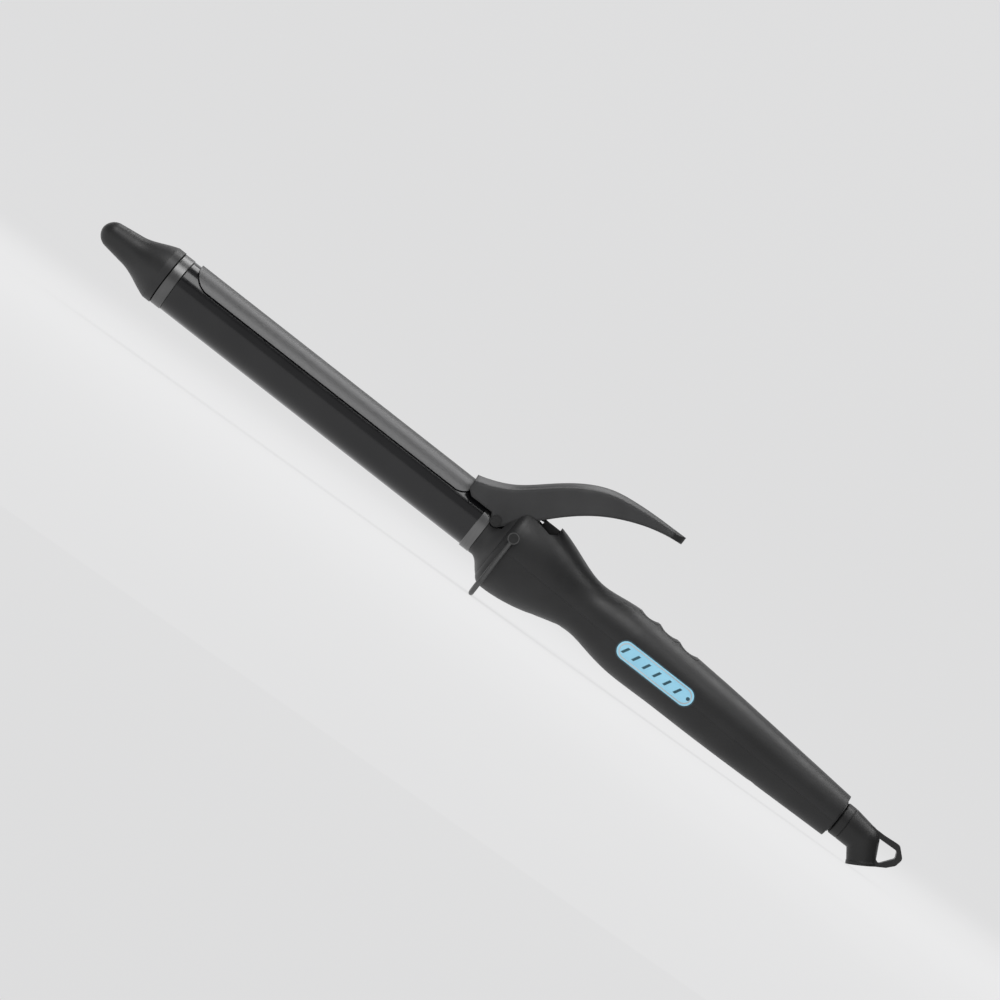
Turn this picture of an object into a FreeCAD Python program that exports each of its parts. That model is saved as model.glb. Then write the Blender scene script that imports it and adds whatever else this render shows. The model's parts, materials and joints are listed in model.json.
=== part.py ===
"""Curling iron: a spring-clamp styling tool resting on its stand and its swivel elbow.

The pieces are drawn in the tool's own frame, in millimetres: X runs along the barrel from the cool tip
to the handle's rear, Z points to the lever side and the barrel's axis is Z = 0. At the end every
piece is turned nose-up and moved, so that the tool stands on Z = 0 with its box centred on the origin.
"""

import FreeCAD, Part
import math
import os

os.makedirs("parts", exist_ok=True)

# ---------------------------------------------------------------- driving dimensions (mm, degrees)

# fits
RUNNING = 0.05          # radial clearance of a pin or neck that turns in its hole
SLIP = 0.10             # clearance between fixed pieces that slide together
MOVING_GAP = 0.30       # clearance between faces that move past each other

# barrel, cool tip and rings
BARREL_R = 12.7
BARREL_WALL = 0.7
TIP_LENGTH = 35.7
TIP_NOSE_R = 6.0        # radius of the rounded nose
TIP_NECK_R = 7.3
TIP_NECK_END = 15.0
TIP_RIM_R = BARREL_R + 0.55
TIP_RIM_LENGTH = 3.6
TIP_WALL = 1.5
TIP_RING_LENGTH = 5.4
TIP_RING_R = BARREL_R + 0.25
TIP_SPIGOT_LENGTH = 9.0
BARREL_SHOWN = 165.5    # tube length seen between the tip ring and the collar
BARREL_INSIDE = 1.4     # how far the tube's rear end lies behind the nose cone's rear face
COLLAR_LENGTH = 4.9
COLLAR_R = BARREL_R + 0.6
PLUG_LENGTH = 20.0
PLUG_BORE_R = 4.9
PLUG_FLANGE = 1.6

# nose cone
LIP_R = BARREL_R + 0.4
LIP_LENGTH = 2.2
NOSE_LENGTH = 8.6
NOSE_SPIGOT = 2.0

# clamp blade and thumb lever
BLADE_GAP = 0.3
BLADE_THICK = 0.7
BLADE_FRONT_GAP = 3.1    # bare barrel between the tip ring and the blade
BLADE_REAR_GAP = 1.8     # between the blade and the collar ring
BLADE_EDGE_Z = 5.1
BLADE_FRONT_ROUND = 9.0
LEVER_LAP = 11.8         # how far the lever's saddle reaches ahead of the collar ring
LEVER_REACH = 69.6       # from the pivot to the thumb end
LEVER_SIDE_STEP = 0.9    # how far the skirts stand outside the blade
LEVER_END_HALF_WIDTH = 11.0
LEVER_SIDE_WALL = 1.4
LEVER_TOP_WALL = 2.4
LEVER_SKIRT_Z = 6.7
PIVOT_BACK = 1.6         # pivot's place behind the nose cone's front face
PIVOT_Z = 4.8
PIVOT_R = 1.5
PIVOT_HEAD_R = 2.2
PIVOT_HEAD_LENGTH = 0.8
EAR_R = 2.7
LEVER_OPEN_DEG = 15.0
END_CAP_LENGTH = 5.0
RIVET_R = 1.2
RIVET_PLACES = (3.8, 8.1)
RIVET_TAIL = 2.3
SPRING_BACK = 14.9       # spring's place behind the pivot
SPRING_R = 2.9
SPRING_WIRE_R = 0.45
SPRING_TURNS = 6
SPRING_FOOT_Z = 5.0
SPRING_RISE = 7.3        # spring's upper end above the blade
POST_R = 3.8

# handle
CREST_R = BARREL_R + 9.2
CREST_BACK = 4.6         # crest's place behind the nose cone
NOSE_REAR_R = CREST_R - 2.9
HANDLE_LENGTH = 184.1    # from the crest to the rear end
HANDLE_WALL = 3.0
WAIST_R = 12.8
GRIP_R = 15.4
REAR_R = 10.5
WAIST_BACK = 42.3
GRIP_BACK = 64.8
SEAM_FRONT_Z = -3.3
SEAM_REAR_Z = -7.8
SLOT_BACK = 13.2         # slot's rear end behind the crest
SLOT_CLEARANCE = 0.5
WELL_TOP_Z = CREST_R - 3.3
WELL_CHEEK_BACK = 5.3    # front of the well's cheeks behind the crest
WELL_LOW_Z = 0.5
WELL_GAP = 0.4
CHEEK_INNER_Y = 5.4
CHEEK_OUTER_Y = 8.8

# stand
STAND_WIRE_R = 1.1
STAND_AHEAD = 1.0        # stand pivot ahead of the crest
STAND_PIVOT_Z = 3.5
STAND_DROP = 4.4         # foot bar's centre below the crest
STAND_CORNER_R = 6.0
STAND_EYE_R = 2.6
STAND_PIN_R = 1.3

# buttons and display
BUTTON_BACK = 66.9       # first button behind the crest
BUTTON_COUNT = 3
BUTTON_PITCH = 11.4
BUTTON_LENGTH = 10.3
BUTTON_WIDTH = 13.0
BUTTON_DISH = 1.1
BUTTON_TRAVEL = 0.6
BUTTON_CORNER_R = 2.6
BUTTON_FLANGE = 0.8
WINDOW_BACK = 83.4       # window's middle behind the crest
WINDOW_Z = -4.7
WINDOW_LENGTH = 40.4
WINDOW_HEIGHT = 8.4
GASKET_WIDTH = 0.6

# electronics
BOARD_TOP_Z = GRIP_R - 14.8
BOARD_THICK = 1.6
PLUG_BORE_Z = BOARD_TOP_Z - 3.1
BOARD_BACK = 50.8        # board's front edge behind the crest
BOARD_CLEARANCE = 7.0    # from the board's rear edge to the rear screw
BOARD_HALF_WIDTH = GRIP_R - 7.1
MODULE_LENGTH = 30.0
MODULE_HALF_WIDTH = GRIP_R - 9.2
MODULE_HEIGHT = GRIP_R - 6.1
CAPACITOR_R = 3.0
CAPACITOR_LENGTH = 14.0
GUIDE_THICK = 1.7
GUIDE_Y = 4.1 - GRIP_R      # outer face of the light guide behind the window
LED_SIZE = 1.6
LED_HEIGHT = 0.7
LED_COUNT = 7
LED_PITCH = 5.2
LED_GAP = 0.2
DISPLAY_BOARD_THICK = 1.0
CHOKE_R = 4.2
CHOKE_WIRE_R = 2.0
SWITCH_SIZE = 6.0
SWITCH_HEIGHT = 2.6
SWITCH_PLUNGER = 0.7
HEATER_BACK = 40.5       # heater's front end behind the tube's front end
HEATER_REAR_GAP = 20.0   # from the heater's rear end to the collar ring
HEATER_WIDTH = 12.0
HEATER_THICK = 1.8
SPREADER_WALL = 0.8

# swivel elbow
SWIVEL_Z = -4.85
ELBOW_GAP = 0.4
ELBOW_INLET_R = 7.9
ELBOW_INLET_LENGTH = 4.5
ELBOW_BEND_R = 7.2
ELBOW_BEND_BACK = 15.5   # bend's middle behind the handle
ELBOW_BEND_DROP = 0.75   # and below the swivel axis
ELBOW_EXIT_R = 6.3
ELBOW_ANGLE = 58.0
ELBOW_DROP = 11.4
ELBOW_BEAD = 0.35       # how far the bead round the outlet stands out
ELBOW_BEAD_LENGTH = 1.6
CORD_BORE_R = 3.6
NECK_R = 5.0
NECK_LENGTH = 26.0
NECK_BORE_R = 2.8
BUSHING_LENGTH = 6.6
BUSHING_R = 6.6
BUSHING_RIM = 0.8
LOOP_WIDTH = 6.0
LOOP_BACK = 14.1         # loop's reference point behind the handle
SLIP_RING_R = 5.9
SLIP_RING_LENGTH = 3.0
BRUSH_GAP = 0.1
BRUSH_HEIGHT = 0.8

# screws
SCREW_R = 1.1
SCREW_HEAD_R = 2.1
SCREW_FRONT_BACK = 37.3  # front screw behind the crest
SCREW_REAR_AHEAD = 38.3  # rear screw ahead of the handle's end
BOSS_WALL = 0.8
LEAD_R = 0.7
LEAD_SPREAD = 3.75      # half the distance between paired leads, clear of the screw bosses
SENSOR_LEAD_R = 0.5

V = FreeCAD.Vector
X_AXIS = V(1, 0, 0)
Y_AXIS = V(0, 1, 0)
Z_AXIS = V(0, 0, 1)


# ---------------------------------------------------------------- small helpers

def rod_x(x0, x1, radius, y=0.0, z=0.0):
    return Part.makeCylinder(radius, x1 - x0, V(x0, y, z), X_AXIS)


def rod_y(y0, y1, radius, x, z):
    return Part.makeCylinder(radius, y1 - y0, V(x, y0, z), Y_AXIS)


def rod_z(z0, z1, radius, x, y=0.0):
    return Part.makeCylinder(radius, z1 - z0, V(x, y, z0), Z_AXIS)


def box(x0, x1, y0, y1, z0, z1):
    return Part.makeBox(x1 - x0, y1 - y0, z1 - z0, V(x0, y0, z0))


def fuse(first, *others):
    shape = first.fuse(list(others))
    return shape.removeSplitter()


def revolve_x(outline):
    """Solid of revolution about X from a closed outline of (x, radius) points."""
    face = Part.Face(Part.makePolygon([V(x, 0, r) for x, r in outline + outline[:1]]))
    return face.revolve(V(0, 0, 0), X_AXIS, 360)


def side_prism(edges, half_width):
    """Solid with a given side outline, reaching as far to either side of the middle plane."""
    face = Part.Face(Part.Wire(Part.__sortEdges__(edges)))
    face.translate(V(0, -half_width, 0))
    return face.extrude(V(0, 2 * half_width, 0))


def side_points(points):
    return [V(x, 0, z) for x, z in points]


def polygon_edges(points):
    corners = side_points(points)
    return [Part.makeLine(a, b) for a, b in zip(corners, corners[1:] + corners[:1])]


def curve_through(points):
    curve = Part.BSplineCurve()
    curve.interpolate(side_points(points))
    return curve.toShape()


def pill_prism(length, height, y0, y1, grow=0.0):
    """Round-ended bar along Y with the display window's outline, grown by a margin."""
    radius = height / 2 + grow
    reach = length / 2 - height / 2
    middle = box(WINDOW_X - reach, WINDOW_X + reach, y0, y1, WINDOW_Z - radius, WINDOW_Z + radius)
    ends = [rod_y(y0, y1, radius, WINDOW_X + side * reach, WINDOW_Z) for side in (-1, 1)]
    return fuse(middle, *ends)


def rounded_block(x0, x1, y0, y1, z0, z1, corner):
    """Block whose four upright edges are rounded."""
    block = box(x0, x1, y0, y1, z0, z1)
    upright = [e for e in block.Edges if abs(e.tangentAt(e.FirstParameter).z) > 0.99]
    return block.makeFillet(corner, upright)


def biggest_solid(shape):
    return max(shape.Solids, key=lambda s: s.Volume)


def compound(shapes):
    return Part.makeCompound(list(shapes))


# ---------------------------------------------------------------- places worked out from the sizes

BARREL_X0 = TIP_LENGTH + TIP_RING_LENGTH + 4 * SLIP
COLLAR_X = BARREL_X0 + BARREL_SHOWN
NOSE_X0 = COLLAR_X + COLLAR_LENGTH + SLIP
NOSE_X1 = NOSE_X0 + NOSE_LENGTH
BARREL_X1 = NOSE_X1 + BARREL_INSIDE
BARREL_BORE_R = BARREL_R - BARREL_WALL
BLADE_R0 = BARREL_R + BLADE_GAP
BLADE_R1 = BLADE_R0 + BLADE_THICK
PIVOT_X = NOSE_X0 + PIVOT_BACK
CREST_X = NOSE_X1 + CREST_BACK
HANDLE_REAR_X = CREST_X + HANDLE_LENGTH
BLADE_FRONT_X = BARREL_X0 + BLADE_FRONT_GAP
BLADE_REAR_X = COLLAR_X - BLADE_REAR_GAP
LEVER_FRONT_X = COLLAR_X - LEVER_LAP
LEVER_END_X = PIVOT_X + LEVER_REACH
LEVER_HALF_WIDTH = BLADE_R1 + LEVER_SIDE_STEP
RIVET_X = [LEVER_FRONT_X + place for place in RIVET_PLACES]
SPRING_X = PIVOT_X + SPRING_BACK
SPRING_TOP_Z = BLADE_R1 + SPRING_RISE
SLOT_REAR_X = CREST_X + SLOT_BACK
WELL_FRONT_X = CREST_X + WELL_CHEEK_BACK
STAND_PIVOT_X = CREST_X - STAND_AHEAD
STAND_REACH = STAND_PIVOT_Z + CREST_R + STAND_DROP
BUTTON_FIRST_X = CREST_X + BUTTON_BACK
WINDOW_X = CREST_X + WINDOW_BACK
SCREW_X = (CREST_X + SCREW_FRONT_BACK, HANDLE_REAR_X - SCREW_REAR_AHEAD)
BOARD_FRONT_X = CREST_X + BOARD_BACK
BOARD_REAR_X = SCREW_X[-1] - BOARD_CLEARANCE
HEATER_X = BARREL_X0 + HEATER_BACK
HEATER_REAR_X = COLLAR_X - HEATER_REAR_GAP
ELBOW_BEND_X = HANDLE_REAR_X + ELBOW_BEND_BACK
LEVER_INNER_HALF = LEVER_HALF_WIDTH - LEVER_SIDE_WALL
SLOT_HALF = LEVER_HALF_WIDTH + SLOT_CLEARANCE
SEAM_SLOPE = (SEAM_REAR_Z - SEAM_FRONT_Z) / (HANDLE_REAR_X - NOSE_X1)


def seam_z(x):
    """Height of the parting line between the handle's shells."""
    return SEAM_FRONT_Z + SEAM_SLOPE * (x - NOSE_X1)


# ---------------------------------------------------------------- barrel group

def cool_tip():
    flare_x = TIP_LENGTH - TIP_RIM_LENGTH
    nose = Part.Arc(V(0, 0, 0), V(1.6, 0, 3.9), V(5.5, 0, TIP_NOSE_R)).toShape()
    neck = Part.makeLine(V(5.5, 0, TIP_NOSE_R), V(TIP_NECK_END, 0, TIP_NECK_R))
    run, rise = flare_x - TIP_NECK_END, TIP_RIM_R - TIP_NECK_R
    shares = [(0, 0), (0.38, 0.27), (0.73, 0.706), (1, 1)]
    flare = curve_through([(TIP_NECK_END + a * run, TIP_NECK_R + b * rise) for a, b in shares])
    rim = Part.makeLine(V(flare_x, 0, TIP_RIM_R), V(TIP_LENGTH, 0, TIP_RIM_R))
    back = Part.makeLine(V(TIP_LENGTH, 0, TIP_RIM_R), V(TIP_LENGTH, 0, 0))
    axis = Part.makeLine(V(TIP_LENGTH, 0, 0), V(0, 0, 0))
    face = Part.Face(Part.Wire([nose, neck, flare, rim, back, axis]))
    tip = face.revolve(V(0, 0, 0), X_AXIS, 360)
    hollow = revolve_x([
        (TIP_LENGTH + 1, 0), (TIP_LENGTH + 1, BARREL_BORE_R - TIP_WALL),
        (flare_x - 1.0, BARREL_BORE_R - TIP_WALL), (TIP_NECK_END, TIP_NECK_R - TIP_WALL),
        (6.0, TIP_NOSE_R - TIP_WALL), (6.0, 0),
    ])
    spigot_end = BARREL_X0 + TIP_SPIGOT_LENGTH
    spigot = rod_x(TIP_LENGTH, spigot_end, BARREL_BORE_R - SLIP)
    spigot = spigot.cut(rod_x(TIP_LENGTH - 1, spigot_end + 1, BARREL_BORE_R - TIP_WALL))
    return fuse(tip.cut(hollow), spigot)


def ring(x0, x1, inner, outer, chamfer):
    body = rod_x(x0, x1, outer)
    body = body.makeChamfer(chamfer, [e for e in body.Edges if isinstance(e.Curve, Part.Circle)])
    return body.cut(rod_x(x0 - 1, x1 + 1, inner))


def tip_ring():
    x0 = TIP_LENGTH + 0.2
    return ring(x0, x0 + TIP_RING_LENGTH, BARREL_BORE_R, TIP_RING_R, 0.4)


def pivot_hole(radius):
    return rod_y(-BARREL_R * 2, BARREL_R * 2, radius, PIVOT_X, PIVOT_Z)


def barrel():
    tube = rod_x(BARREL_X0, BARREL_X1, BARREL_R).cut(rod_x(BARREL_X0 - 1, BARREL_X1 + 1, BARREL_BORE_R))
    return tube.cut(pivot_hole(PIVOT_R + SLIP))


def collar_ring():
    return ring(COLLAR_X, COLLAR_X + COLLAR_LENGTH, BARREL_R + 0.02, COLLAR_R, 0.25)


def barrel_plug():
    """Insulating plug that closes the barrel's rear end and holds the two lever pivots."""
    plug = rod_x(BARREL_X1 - PLUG_LENGTH, BARREL_X1, BARREL_BORE_R - SLIP)
    flange = rod_x(BARREL_X1, BARREL_X1 + PLUG_FLANGE, BARREL_R)
    plug = fuse(plug, flange).cut(rod_x(BARREL_X1 - PLUG_LENGTH - 1, BARREL_X1 + 3, PLUG_BORE_R, 0, PLUG_BORE_Z))
    return plug.cut(pivot_hole(PIVOT_R))


def heater_plate():
    half = HEATER_WIDTH / 2
    thick = HEATER_THICK / 2
    return box(HEATER_X, HEATER_REAR_X, -half, half, -thick, thick)


def heat_spreader(side):
    """Thin half-round extrusion that carries heat from the plate to the barrel; side is +1 or -1."""
    radius = BARREL_BORE_R - SLIP
    seat = HEATER_THICK / 2 + 0.02
    x0, x1 = HEATER_X, HEATER_REAR_X
    arch = rod_x(x0, x1, radius).cut(rod_x(x0 - 1, x1 + 1, radius - SPREADER_WALL))
    arch = arch.common(box(x0 - 1, x1 + 1, -radius, radius, seat, radius + 1))
    reach = math.sqrt(radius ** 2 - (seat + SPREADER_WALL) ** 2) - 0.05
    shape = fuse(arch, box(x0, x1, -reach, reach, seat, seat + SPREADER_WALL))
    if side < 0:
        shape = shape.mirror(V(0, 0, 0), Z_AXIS)
    return shape


def spreader_clips():
    """Spring clips that press both spreaders together over the plate's edges."""
    clips = []
    for x in (HEATER_X + 14, (HEATER_X + HEATER_REAR_X) / 2, HEATER_REAR_X - 20):
        for side in (-1, 1):
            inner = HEATER_WIDTH / 2 + 0.3
            y0, y1 = sorted((side * inner, side * (inner + 2.2)))
            clips.append(box(x, x + 6, y0, y1, -HEATER_THICK / 2, HEATER_THICK / 2))
    return compound(clips)


def temperature_sensor():
    x0 = HEATER_REAR_X + 2
    return fuse(rod_x(x0, x0 + 6, 1.4, -3.2, 2.6), rod_x(x0 + 6, x0 + 9, 0.7, -3.2, 2.6))


def thermal_fuse():
    x0 = HEATER_REAR_X + 2
    return fuse(rod_x(x0, x0 + 10, 1.9, 3.6, 2.2), rod_x(x0 + 10, x0 + 13, 0.5, 3.6, 2.2))


def lead_pair(radius, height, x1):
    """Two parallel leads from the heater, through the plug's bore, towards the control board."""
    x0 = HEATER_REAR_X + 0.2
    return compound([rod_x(x0, x1, radius, y, height) for y in (-LEAD_SPREAD, LEAD_SPREAD)])


def heater_leads():
    return lead_pair(LEAD_R, BOARD_TOP_Z - BOARD_THICK - LEAD_R, BOARD_FRONT_X + 7.0)


def sensor_leads():
    height = BOARD_TOP_Z - BOARD_THICK - 2 * LEAD_R - SENSOR_LEAD_R
    return lead_pair(SENSOR_LEAD_R, height, BOARD_FRONT_X + 5.0)


# ---------------------------------------------------------------- clamp group

def clamp_blade():
    """Thin curved leaf over the barrel's top, with rounded corners at both ends."""
    leaf = rod_x(BLADE_FRONT_X, BLADE_REAR_X, BLADE_R1)
    leaf = leaf.cut(rod_x(BLADE_FRONT_X - 1, BLADE_REAR_X + 1, BLADE_R0))
    top = BLADE_R1 + 1
    front_end = V(BLADE_FRONT_X + BLADE_FRONT_ROUND, 0, BLADE_EDGE_Z)
    rear_start = V(LEVER_FRONT_X - 4.0, 0, BLADE_EDGE_Z)
    rear_end = V(LEVER_FRONT_X + 2.2, 0, BLADE_EDGE_Z + 5.2)
    front = Part.Arc(
        V(BLADE_FRONT_X, 0, top), V(BLADE_FRONT_X + 2.6, 0, BLADE_EDGE_Z + 3.4), front_end
    ).toShape()
    lower = Part.makeLine(front_end, rear_start)
    rear = Part.Arc(rear_start, V(LEVER_FRONT_X - 0.1, 0, BLADE_EDGE_Z + 1.7), rear_end).toShape()
    tail = Part.makeLine(rear_end, V(BLADE_REAR_X, 0, rear_end.z))
    back = Part.makeLine(V(BLADE_REAR_X, 0, rear_end.z), V(BLADE_REAR_X, 0, top))
    over = Part.makeLine(V(BLADE_REAR_X, 0, top), V(BLADE_FRONT_X, 0, top))
    blade = leaf.common(side_prism([front, lower, rear, tail, back, over], BLADE_R1 + 1))
    holes = [rod_z(0, BLADE_R1 + 2, RIVET_R, x) for x in RIVET_X]
    return blade.cut(compound(holes))


def lever_top_points(drop=0.0):
    """Points of the lever's top line, or of a line the given distance below it."""
    return lever_line([
        (LEVER_FRONT_X - PIVOT_X, 2.1), (-11.8, 4.3), (-3.1, 8.7), (5.6, 15.7), (14.3, 23.2),
        (23.0, 29.1), (31.7, 32.9), (42.6, 34.9), (56.4, 35.8), (LEVER_REACH, 36.1),
    ], drop)


def lever_line(offsets, drop=0.0):
    """Side points given as distances behind the pivot and above the blade."""
    return [(PIVOT_X + x, BLADE_R1 + z - drop) for x, z in offsets]


LEVER_UNDER = lever_line([
    (15.9, 3.9), (23.0, 11.3), (31.7, 18.6), (42.6, 25.1), (55.7, 30.2), (LEVER_REACH, 32.7),
])


def lever_side_edges():
    """Side outline of the lever: front saddle, pivot ear, rising skirt and flat thumb end."""
    top = lever_top_points()
    under = LEVER_UNDER
    ear_front = (PIVOT_X - EAR_R, PIVOT_Z)
    ear_low = (PIVOT_X, PIVOT_Z - EAR_R)
    rise = math.atan2(under[0][1] - PIVOT_Z, under[0][0] - PIVOT_X)
    rise += math.asin(EAR_R / math.hypot(under[0][0] - PIVOT_X, under[0][1] - PIVOT_Z))
    ear_rear = (PIVOT_X + EAR_R * math.sin(rise), PIVOT_Z - EAR_R * math.cos(rise))
    corners = side_points([top[0], (LEVER_FRONT_X + 0.6, 8.8), (LEVER_FRONT_X + 3.4, LEVER_SKIRT_Z),
                           (ear_front[0] - 1.2, LEVER_SKIRT_Z), ear_front])
    edges = [Part.makeLine(a, b) for a, b in zip(corners, corners[1:])]
    edges.append(Part.Arc(*side_points([ear_front, ear_low, ear_rear])).toShape())
    edges.append(Part.makeLine(*side_points([ear_rear, under[0]])))
    edges.append(curve_through(under))
    edges.append(Part.makeLine(*side_points([under[-1], top[-1]])))
    edges.append(curve_through(top))
    return edges


def lever_plan():
    """Upright prism with the lever's outline seen from above: straight, then narrowing to the thumb end."""
    wide, narrow = LEVER_HALF_WIDTH, LEVER_END_HALF_WIDTH
    narrow_x = WELL_FRONT_X + 3
    corner = 5.0

    def at(x, y):
        return V(x, y, -5)

    edges = []
    for side in (-1, 1):
        edges.append(Part.makeLine(at(LEVER_FRONT_X - 1, side * wide), at(narrow_x, side * wide)))
        edges.append(Part.makeLine(at(narrow_x, side * wide), at(LEVER_END_X - corner, side * narrow)))
        bend = corner * math.cos(math.radians(45))
        middle = at(LEVER_END_X - corner + bend, side * (narrow - corner + bend))
        edges.append(Part.Arc(at(LEVER_END_X - corner, side * narrow), middle,
                              at(LEVER_END_X, side * (narrow - corner))).toShape())
    front = LEVER_FRONT_X - 1
    edges.append(Part.makeLine(at(front, -wide), at(front, wide)))
    edges.append(Part.makeLine(at(LEVER_END_X, -narrow + corner), at(LEVER_END_X, narrow - corner)))
    return Part.Face(Part.Wire(Part.__sortEdges__(edges))).extrude(V(0, 0, 70))


def lever_outer():
    """Lever's outer form, its top edges bevelled by two slanted side planes."""
    body = side_prism(lever_side_edges(), LEVER_HALF_WIDTH).common(lever_plan())
    bevelled = body
    for side in (-1, 1):
        top = lever_top_points()
        ledge = curve_through(top)
        rail = ledge.copy()
        rail.translate(V(0, side * (LEVER_END_HALF_WIDTH - 2.5), 0.02))
        low = ledge.copy()
        low.translate(V(0, side * (LEVER_HALF_WIDTH + 1.0), -3.4))
        far = ledge.copy()
        far.translate(V(0, side * (LEVER_HALF_WIDTH + 1.0), 6.0))
        strips = [Part.makeRuledSurface(rail, low), Part.makeRuledSurface(low, far),
                  Part.makeRuledSurface(far, rail)]
        caps = []
        for end in (0, -1):
            ends = [c.valueAt(c.FirstParameter if end == 0 else c.LastParameter) for c in (rail, low, far)]
            caps.append(Part.Face(Part.makePolygon(ends + ends[:1])))
        shell = Part.makeShell(strips + caps)
        wedge = Part.makeSolid(shell)
        if wedge.Volume < 0:
            wedge.reverse()
        bevelled = bevelled.cut(wedge)
    return biggest_solid(bevelled)


def lever_cavity():
    """Hollow between the skirts, open below, under a top wall of even depth."""
    start_x = BLADE_REAR_X + 1.8
    stop_x = LEVER_END_X - END_CAP_LENGTH - 14.0
    inner_top = [(x, z) for x, z in lever_top_points(LEVER_TOP_WALL + 0.6) if start_x + 2 < x < stop_x - 2]
    first = (start_x, inner_top[0][1] - 2.6)
    last = (stop_x, inner_top[-1][1] + 0.4)
    line = [first] + inner_top + [last]
    edges = [curve_through(line)]
    corners = side_points([last, (stop_x, 10.0), (start_x, -5.0), first])
    edges += [Part.makeLine(a, b) for a, b in zip(corners, corners[1:])]
    hollow = side_prism(edges, LEVER_INNER_HALF)
    taper = lever_plan()
    taper.translate(V(-LEVER_SIDE_WALL, 0, 0))
    squeeze = FreeCAD.Matrix()
    squeeze.scale(1.0, LEVER_INNER_HALF / LEVER_HALF_WIDTH, 1.0)
    return hollow.common(taper.transformGeometry(squeeze))


def thumb_lever(outer):
    lever = outer.cut(lever_cavity())
    saddle = rod_x(LEVER_FRONT_X - 1, SLOT_REAR_X - 12.0, BLADE_R1 + 0.02)
    lever = lever.cut(saddle)
    post_top = SPRING_TOP_Z + 15.0
    post = rod_z(SPRING_TOP_Z, post_top, POST_R, SPRING_X)
    stub = rod_z(SPRING_TOP_Z - 2.0, SPRING_TOP_Z, SPRING_R - SPRING_WIRE_R - 0.5, SPRING_X)
    lever = fuse(lever, post.common(outer), stub)
    lever = lever.cut(rod_y(-20, 20, PIVOT_R + RUNNING, PIVOT_X, PIVOT_Z))
    lever = lever.cut(compound([rod_z(0, BLADE_R1 + RIVET_TAIL + 0.1, RIVET_R, x) for x in RIVET_X]))
    lever = lever.cut(box(LEVER_END_X - END_CAP_LENGTH, LEVER_END_X + 1, -20, 20, 30, 60))
    return biggest_solid(lever)


def lever_end_cap(outer):
    x0 = LEVER_END_X - END_CAP_LENGTH + 0.05
    return outer.common(box(x0, LEVER_END_X + 1, -20, 20, 30, 60))


def blade_rivets():
    rivets = []
    for x in RIVET_X:
        rivets.append(rod_z(BLADE_R0 + 0.1, BLADE_R1 + RIVET_TAIL, RIVET_R, x))
    return compound(rivets)


def lever_pivot_pins():
    """Two short pins, from the plug outwards through the lever's ears, with flat heads."""
    pins = []
    outside = LEVER_HALF_WIDTH + 0.1
    for side in (-1, 1):
        y0, y1 = sorted((side * 7.0, side * outside))
        h0, h1 = sorted((side * outside, side * (outside + PIVOT_HEAD_LENGTH)))
        shank = rod_y(y0, y1, PIVOT_R, PIVOT_X, PIVOT_Z)
        head = rod_y(h0, h1, PIVOT_HEAD_R, PIVOT_X, PIVOT_Z)
        pins.append(fuse(shank, head))
    return compound(pins)


def clamp_spring():
    """Compression spring between the well's pocket and the lever's post, as a wound coil."""
    length = SPRING_TOP_Z - SPRING_FOOT_Z - 2 * SPRING_WIRE_R - 0.1
    helix = Part.makeHelix(length / SPRING_TURNS, length, SPRING_R)
    start = Part.makeCircle(SPRING_WIRE_R, V(SPRING_R, 0, 0), V(0, 1, 0))
    coil = Part.Wire(helix).makePipeShell([Part.Wire(start)], True, True)
    coil.translate(V(SPRING_X, 0, SPRING_FOOT_Z + SPRING_WIRE_R + 0.05))
    return coil


# ---------------------------------------------------------------- nose, handle and well

def nose_cone():
    """Insulating nose: a plain lip against the collar, then a flare up to the handle."""
    x0, x1 = NOSE_X0, NOSE_X1
    lip_end = x0 + LIP_LENGTH
    inner = BARREL_R + 0.02
    run, rise = x1 - lip_end, NOSE_REAR_R - LIP_R
    shares = [(0, 0), (0.375, 0.24), (0.69, 0.64), (1, 1)]
    flare = curve_through([(lip_end + a * run, LIP_R + b * rise) for a, b in shares])
    outline = [
        Part.makeLine(V(x0, 0, inner), V(x0, 0, LIP_R)),
        Part.makeLine(V(x0, 0, LIP_R), V(lip_end, 0, LIP_R)),
        flare,
        Part.makeLine(V(x1, 0, NOSE_REAR_R), V(x1, 0, inner)),
        Part.makeLine(V(x1, 0, inner), V(x0, 0, inner)),
    ]
    cone = Part.Face(Part.Wire(outline)).revolve(V(0, 0, 0), X_AXIS, 360)
    spigot = rod_x(x1, x1 + NOSE_SPIGOT, NOSE_REAR_R - HANDLE_WALL - SLIP)
    spigot = spigot.cut(rod_x(x1 - 1, x1 + 3, inner))
    cone = fuse(cone, spigot).cut(pivot_hole(PIVOT_R + SLIP))
    return biggest_solid(cone.cut(lever_slot()))


def lever_slot():
    """Space that the ears and skirts sweep, from closed to fully open."""
    under = LEVER_UNDER[0]
    reach = math.hypot(under[0] - PIVOT_X, under[1] - PIVOT_Z)
    rise = math.atan2(under[1] - PIVOT_Z, under[0] - PIVOT_X) + math.asin(EAR_R / reach)
    rise -= math.radians(LEVER_OPEN_DEG)
    radius = EAR_R + SLOT_CLEARANCE
    low = (PIVOT_X + radius * math.sin(rise), PIVOT_Z - radius * math.cos(rise))
    far_z = low[1] + (SLOT_REAR_X - low[0]) * math.tan(rise)
    edges = polygon_edges([
        (PIVOT_X - radius, PIVOT_Z), low, (SLOT_REAR_X, far_z), (SLOT_REAR_X, 40.0), (PIVOT_X - radius, 40.0),
    ])
    sweep = side_prism(edges, SLOT_HALF)
    ears = rod_y(-SLOT_HALF, SLOT_HALF, radius, PIVOT_X, PIVOT_Z)
    return fuse(sweep, ears)


def grip_x(share):
    """Place between the grip's fullest section (0) and the handle's rear end (1)."""
    start = CREST_X + GRIP_BACK
    return start + share * (HANDLE_REAR_X - start)


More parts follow.
